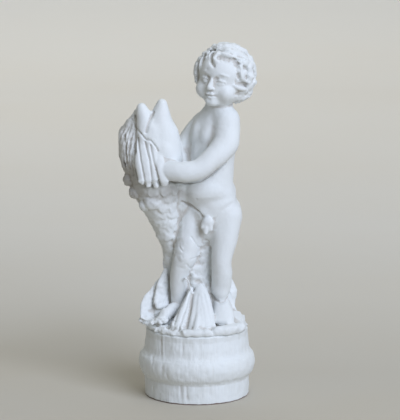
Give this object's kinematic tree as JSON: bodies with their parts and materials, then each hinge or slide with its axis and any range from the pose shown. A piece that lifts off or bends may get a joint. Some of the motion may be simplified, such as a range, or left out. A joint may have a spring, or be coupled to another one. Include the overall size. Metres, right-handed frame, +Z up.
{
  "type": "cherub statue",
  "caption": "Small white statue of a standing cherub who holds a scaly fish upright, cast in one with its rocky base, on a turned round plinth.",
  "frame": {"origin": "middle of the plinth's underside", "axes": "+Z up along the plinth's turning axis, -Y the way the statue faces, +X towards the cherub's left, away from the fish"},
  "size_m": [0.0317, 0.0272, 0.0823],
  "materials": {
    "white_cast": "matte white paint over cast plaster or resin",
    "white_painted_wood": "matte white paint over turned wood, the grain and brush marks showing"
  },
  "bodies": {
    "root": {"cherub_with_fish": "white_cast", "turned_plinth": "white_painted_wood"}
  },
  "joints": []
}
